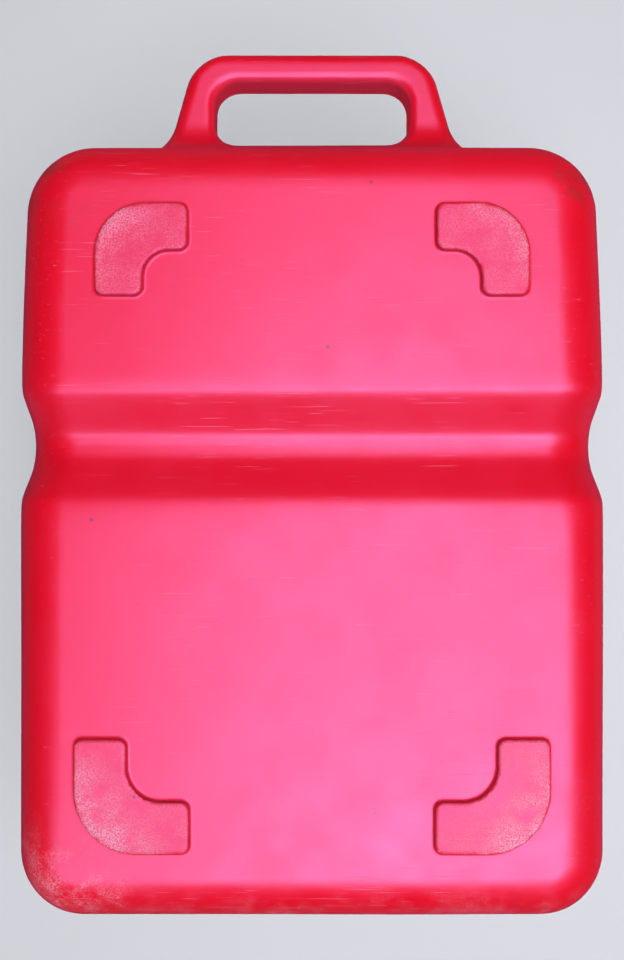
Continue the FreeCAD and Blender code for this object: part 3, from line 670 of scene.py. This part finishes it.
def foam_material():
    """Dark closed-cell foam."""
    m = Nodes("foam").set(IOR=1.4)
    cells = m.tree.nodes.new("ShaderNodeTexVoronoi")
    cells.inputs["Scale"].default_value = 900.0
    m.link(m.place, cells.inputs["Vector"])
    depth = cells.outputs["Distance"]
    colour = m.mix(m.band(depth, 0.1, 0.6), (0.09, 0.09, 0.095), (0.03, 0.03, 0.032))
    return m.finish(colour, m.band(m.noise(90.0), 0.3, 0.7, 0.75, 0.9), m.bump(depth, 0.0002))


YELLOWED = (0.55, 0.5, 0.4)
MATERIALS = {
    "red_shell": red_shell_material(),
    "black_cap": plastic_material("black_cap", (0.017, 0.017, 0.018), 0.48, 620.0, 0.0001),
    "black_unit": plastic_material("black_unit", (0.020, 0.020, 0.022), 0.40),
    "rubber_seal": rubber_material("rubber_seal"),
    "steel_screw": metal_material("steel_screw", (0.60, 0.59, 0.57), 0.26),
    "brass": metal_material("brass", (0.70, 0.47, 0.20), 0.22, (0.30, 0.17, 0.06), (40, 2600, 40)),
    "aluminium": metal_material("aluminium", (0.74, 0.75, 0.76), 0.30, (0.45, 0.45, 0.46)),
    "dial_white": plastic_material(
        "dial_white", (0.78, 0.76, 0.70), 0.45, grain_depth=0.00002, wear=(0.5, 0.46, 0.36)
    ),
    "hand_orange": plastic_material("hand_orange", (0.80, 0.13, 0.015), 0.35),
    "clear_window": window_material(),
    "white_plastic": plastic_material(
        "white_plastic", (0.72, 0.71, 0.66), 0.42, grain_depth=0.00003, wear=YELLOWED
    ),
    "foam": foam_material(),
    "spring_steel": metal_material("spring_steel", (0.5, 0.5, 0.5), 0.3),
}


def dress(obj, slot_name):
    """obj wears the slot's material."""
    obj.data.materials.clear()
    obj.data.materials.append(MATERIALS[slot_name])


def add_to_shell(piece):
    """piece is part of the tank's red shell."""
    dress(piece, "red_shell")
    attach(piece, "tank")
    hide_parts("tank_shell")


# ---------------- pieces ----------------


def shell_grid():
    """Places in X, Y and Z, in millimetres: fine where the shell bends, coarse where it runs straight."""
    xs = mirrored((0, 64, 4), (64, 140, 2), (140, 179, 3))
    ys = spaced(
        (-270, -196, 2.5), (-196, -158, 3.8), (-158, -98, 2), (-98, -50, 4),
        (-50, 22, 2.4), (22, 150, 6), (150, 223, 2), (223, 270, 3),
    )
    zs = spaced((-2, 8, 1), (8, 40, 4), (40, 90, 3), (90, 120, 6), (120, 144, 3), (144, 200, 4))
    return xs, ys, zs


def make_shell():
    """The hollow shell with its handle, its pads and the two openings in its deck."""
    shell = field_object("shell", outer_field, *shell_grid())
    hollow_grid = mirrored((0, 180, 7)), spaced((-270, 270, 7)), spaced((2, 200, 6))
    cut_out(shell, field_object("hollow", inner_field, *hollow_grid))
    low, high = DECK_Z - HOLE_CUT_BELOW, DECK_Z + HOLE_CUT_ABOVE
    cut_out(shell, prism("neck_way", FILLER, NECK_BORE_R, low, high))
    cut_out(shell, prism("unit_way", UNIT, UNIT_HOLE_R, low, high))
    shade_by_fields(shell, outer_field, inner_field)
    # left out of bounced light, so its red doesn't fall on the pale floor or back on itself
    shell.visible_diffuse = False
    add_to_shell(shell)


def lathe(name, centre, profile, count=128):
    """A closed ring from (radius, height) pairs, in order round the section."""
    verts, faces = [], []
    for i in range(count):
        turn = 2 * math.pi * i / count
        verts += [(centre.x + r * math.cos(turn), centre.y + r * math.sin(turn), z) for r, z in profile]
    n = len(profile)
    for i in range(count):
        for k in range(n):
            a, b = i * n + k, i * n + (k + 1) % n
            c, d = (i + 1) % count * n + (k + 1) % n, (i + 1) % count * n + k
            faces.append((a, d, c, b))
    return mesh_object(name, verts, faces)


def rounded_corner(r0, z0, radius, start, end, count=5):
    """Points on an arc about (r0, z0) from angle start to end in degrees."""
    angles = [math.radians(start + (end - start) * i / count) for i in range(count + 1)]
    return [(r0 + radius * math.cos(a), z0 + radius * math.sin(a)) for a in angles]


def smooth_by_angle(obj, degrees=35.0):
    mesh = obj.data
    mesh.polygons.foreach_set("use_smooth", [True] * len(mesh.polygons))
    mesh.set_sharp_from_angle(angle=math.radians(degrees))


def outwards(obj):
    work = bmesh.new()
    work.from_mesh(obj.data)
    bmesh.ops.recalc_face_normals(work, faces=work.faces)
    work.to_mesh(obj.data)
    work.free()


def thread_ridge(name, start_turn):
    """One start of the neck's thread: a tapered ridge along a helix that fades out at both ends."""
    verts, faces = [], []
    for i in range(THREAD_STEPS + 1):
        u = i / THREAD_STEPS
        turn = start_turn + 2 * math.pi * THREAD_HEIGHT / THREAD_LEAD * u
        z = THREAD_LOW + THREAD_HEIGHT * u
        fade = min(1.0, THREAD_FADE * u, THREAD_FADE * (1 - u))
        foot = NECK_R - THREAD_BURIED
        crest = NECK_R + THREAD_DEPTH * fade - CREST_SHY
        shoulder = crest - CREST_BEVEL * fade
        section = [
            (foot, -RIDGE_ROOT / 2), (shoulder, -RIDGE_CREST / 2), (crest, -RIDGE_CREST / 4),
            (crest, RIDGE_CREST / 4), (shoulder, RIDGE_CREST / 2), (foot, RIDGE_ROOT / 2),
        ]
        across, along = math.cos(turn), math.sin(turn)
        verts += [(FILLER.x + r * across, FILLER.y + r * along, z + dz) for r, dz in section]
    n = len(section)
    for i in range(THREAD_STEPS):
        for k in range(n):
            a, b = i * n + k, i * n + (k + 1) % n
            faces.append((a, b, b + n, a + n))
    last = THREAD_STEPS * n
    faces += [tuple(reversed(range(n))), tuple(range(last, last + n))]
    return mesh_object(name, verts, faces)


def rounded_rim(outer_r, inner_r, top, lip):
    """The top of a ring, both of its edges rounded to radius lip."""
    outside = rounded_corner(outer_r - lip, top - lip, lip, 0, 90)
    return outside + rounded_corner(inner_r + lip, top - lip, lip, 90, 180)


def make_neck():
    """The filler neck with its thread, blown in one with the shell."""
    low = DECK_Z - WALL
    root_r, root_z = NECK_R + NECK_ROOT, DECK_Z + NECK_ROOT - NECK_ROOT_SUNK
    outside = rounded_corner(root_r, root_z, NECK_ROOT, 270, 180)
    rim = rounded_rim(NECK_R, NECK_BORE_R, NECK_TOP, NECK_LIP)
    neck = lathe("filler_neck", FILLER, [(NECK_BORE_R, low), (root_r, low)] + outside + rim)
    starts = [math.pi * i for i in range(THREAD_STARTS)]
    return [neck] + [thread_ridge(f"neck_thread_{i}", turn) for i, turn in enumerate(starts)]


def make_boss():
    """The thick ring that the gauge unit is screwed to."""
    rim = rounded_rim(BOSS_R, UNIT_HOLE_R, BOSS_TOP, BOSS_LIP)
    root_r, root_z = BOSS_R + BOSS_ROOT, DECK_Z + BOSS_ROOT - BOSS_ROOT_SUNK
    root = rounded_corner(root_r, root_z, BOSS_ROOT, 270, 180)
    foot = [(UNIT_HOLE_R, BOSS_LOW), (BOSS_R, BOSS_LOW), (BOSS_R, DECK_Z - BOSS_ROOT)]
    return lathe("unit_boss", UNIT, foot + root + rim)


def dress_cad_nodes():
    """Every CAD node wears its slot's material."""
    for subpart in frame["record"]["subparts"]:
        dress(frame["nodes"][subpart["node"]], subpart["material_slot"])


make_shell()
for piece in make_neck() + [make_boss()]:
    outwards(piece)
    smooth_by_angle(piece)
    add_to_shell(piece)
dress_cad_nodes()


# ---------------- camera, stage and light ----------------

CAMERA_BELOW = 505.6 * MM  # under the plane of the pads
CAMERA_Y = 4.4 * MM
LENS = 33.2
SHEET_SIZE = 14.0
BACKDROP_Z = HEIGHT + 2 * MM
SHEET_COLOUR = (0.62, 0.62, 0.61, 1.0)
PALE = (0.66, 0.67, 0.68, 1.0)
GRASS_DARK = (0.020, 0.032, 0.020, 1.0)


def make_camera():
    """Under the tank, looking straight up, with the handle at the top of the picture."""
    data = bpy.data.cameras.new("camera")
    data.lens = LENS
    data.clip_start, data.clip_end = 0.01, 50.0
    camera = bpy.data.objects.new("camera", data)
    camera.location = (0, CAMERA_Y, -CAMERA_BELOW)
    camera.rotation_euler = (math.pi, 0, 0)
    bpy.context.scene.collection.objects.link(camera)
    bpy.context.scene.camera = camera


def plain_sheet(name, z, seen_from):
    """A big level square that casts no shadow and gives no bounced light."""
    half = SHEET_SIZE / 2
    corners = [(-half, -half, z), (half, -half, z), (half, half, z), (-half, half, z)]
    face = (0, 1, 2, 3) if seen_from == "above" else (3, 2, 1, 0)
    sheet = mesh_object(name, corners, [face])
    sheet.visible_shadow = False
    sheet.visible_diffuse = False
    return sheet


def matt_sheet(name):
    """The sheets' pale matt look, with what both need to be one-sided."""
    m = Nodes(name).set(Base_Color=SHEET_COLOUR, Roughness=0.9, Specular_IOR_Level=0.1)
    clear = m.tree.nodes.new("ShaderNodeBsdfTransparent").outputs[0]
    behind = m.tree.nodes.new("ShaderNodeNewGeometry").outputs["Backfacing"]
    return m, clear, behind


def glow(m, colour):
    node = m.tree.nodes.new("ShaderNodeEmission")
    node.inputs["Color"].default_value = colour
    return node.outputs[0]


def faded_far_off(m):
    """Near the object the sheet takes its shadow. Far off it is as pale as the world."""
    x, y = m.axis("X"), m.axis("Y")
    far = m.math("SQRT", m.math("ADD", m.times(x, x), m.times(y, y)))
    return m.blend(m.band(far, 0.45, 1.5), m.shader.outputs[0], glow(m, PALE))


def footprint(m):
    """1 under the body and the grip, where the underside's own gloss would mirror the floor."""
    x, y = m.math("ABSOLUTE", m.axis("X")), m.axis("Y")
    body = m.times(m.band(x, 0.162, 0.150), m.times(m.band(y, -0.200, -0.188), m.band(y, 0.256, 0.244)))
    grip = m.times(m.band(x, 0.125, 0.105), m.times(m.band(y, -0.330, -0.310), m.band(y, -0.188, -0.196)))
    return m.math("MAXIMUM", body, grip)


def make_floor():
    """The floor shows from above. In reflections it is dark, as grass is, and open under the object."""
    floor = plain_sheet("floor", 0.0, "above")
    m, clear, behind = matt_sheet("floor")
    seen = m.blend(behind, faded_far_off(m), clear)
    mirrored_look = m.blend(footprint(m), glow(m, GRASS_DARK), clear)
    in_mirror = m.tree.nodes.new("ShaderNodeLightPath").outputs["Is Glossy Ray"]
    m.show(m.blend(in_mirror, seen, mirrored_look))
    floor.data.materials.append(m.material)


def make_backdrop():
    """Behind the object for a camera that looks nearly straight up. Seen at a slant it is clear."""
    backdrop = plain_sheet("backdrop", BACKDROP_Z, "below")
    backdrop.visible_glossy = False
    m, clear, behind = matt_sheet("backdrop")
    slant = m.tree.nodes.new("ShaderNodeLayerWeight").outputs["Facing"]
    away = m.math("MAXIMUM", behind, m.band(slant, 0.26, 0.38))
    m.show(m.blend(away, m.shader.outputs[0], clear))
    backdrop.data.materials.append(m.material)


WHITE, COOL = (1.0, 1.0, 1.0), (0.90, 0.90, 1.0)
# each: place, aim, two sides, watts, colour, and the kind of reflection that it is left out of
LIGHTS = {
    "under_key": ((0.25, 0.30, -1.35), (0.05, 0.06, 0.05), (1.25, 1.25), 29.0, COOL, None),
    "under_fill": ((0.1, -0.55, -1.2), (0.0, 0.0, 0.05), (0.9, 0.9), 6.5, COOL, None),
    "top_key": ((-0.3, -0.4, 2.0), (0.0, 0.0, 0.1), (1.4, 1.4), 56.0, WHITE, "glossy"),
    "side_key": ((1.7, 0.2, 0.9), (0.0, 0.0, 0.1), (1.2, 1.0), 8.0, WHITE, "glossy"),
    "crest_strip": ((0.1, 0.72, -1.05), (0.0, 0.0, 0.05), (2.2, 0.14), 13.0, COOL, "diffuse"),
    "front_key": ((-0.6, -1.9, 0.8), (0.0, 0.0, 0.1), (1.6, 0.8), 9.0, WHITE, "glossy"),
    "rear_key": ((-0.9, 1.8, 0.8), (0.0, 0.0, 0.1), (1.6, 0.8), 9.0, WHITE, "glossy"),
}


def area_light(name, place, aim, size, power, colour, left_out_of):
    data = bpy.data.lights.new(name, "AREA")
    data.shape = "RECTANGLE"
    data.size, data.size_y = size
    data.energy = power
    data.color = colour
    light = bpy.data.objects.new(name, data)
    light.location = place
    light.rotation_euler = (Vector(aim) - Vector(place)).to_track_quat("-Z", "Y").to_euler()
    light.visible_glossy = left_out_of != "glossy"
    light.visible_diffuse = left_out_of != "diffuse"
    bpy.context.scene.collection.objects.link(light)


def make_world():
    """Pale behind the object, but dim as a light, so that the shell's edges stay deep red."""
    world = bpy.data.worlds.new("world")
    bpy.context.scene.world = world
    world.use_nodes = True
    tree = world.node_tree
    dim = tree.nodes["Background"]
    dim.inputs["Color"].default_value = (0.55, 0.62, 0.55, 1.0)
    dim.inputs["Strength"].default_value = 0.16
    pale = tree.nodes.new("ShaderNodeBackground")
    pale.inputs["Color"].default_value = PALE
    pale.inputs["Strength"].default_value = 1.0
    chooser = tree.nodes.new("ShaderNodeMixShader")
    seen = tree.nodes.new("ShaderNodeLightPath").outputs["Is Camera Ray"]
    tree.links.new(seen, chooser.inputs[0])
    tree.links.new(dim.outputs[0], chooser.inputs[1])
    tree.links.new(pale.outputs[0], chooser.inputs[2])
    tree.links.new(chooser.outputs[0], tree.nodes["World Output"].inputs["Surface"])


make_camera()
make_floor()
make_backdrop()
make_world()
for name, setting in LIGHTS.items():
    area_light(name, *setting)
bpy.context.scene.view_settings.view_transform = "Standard"
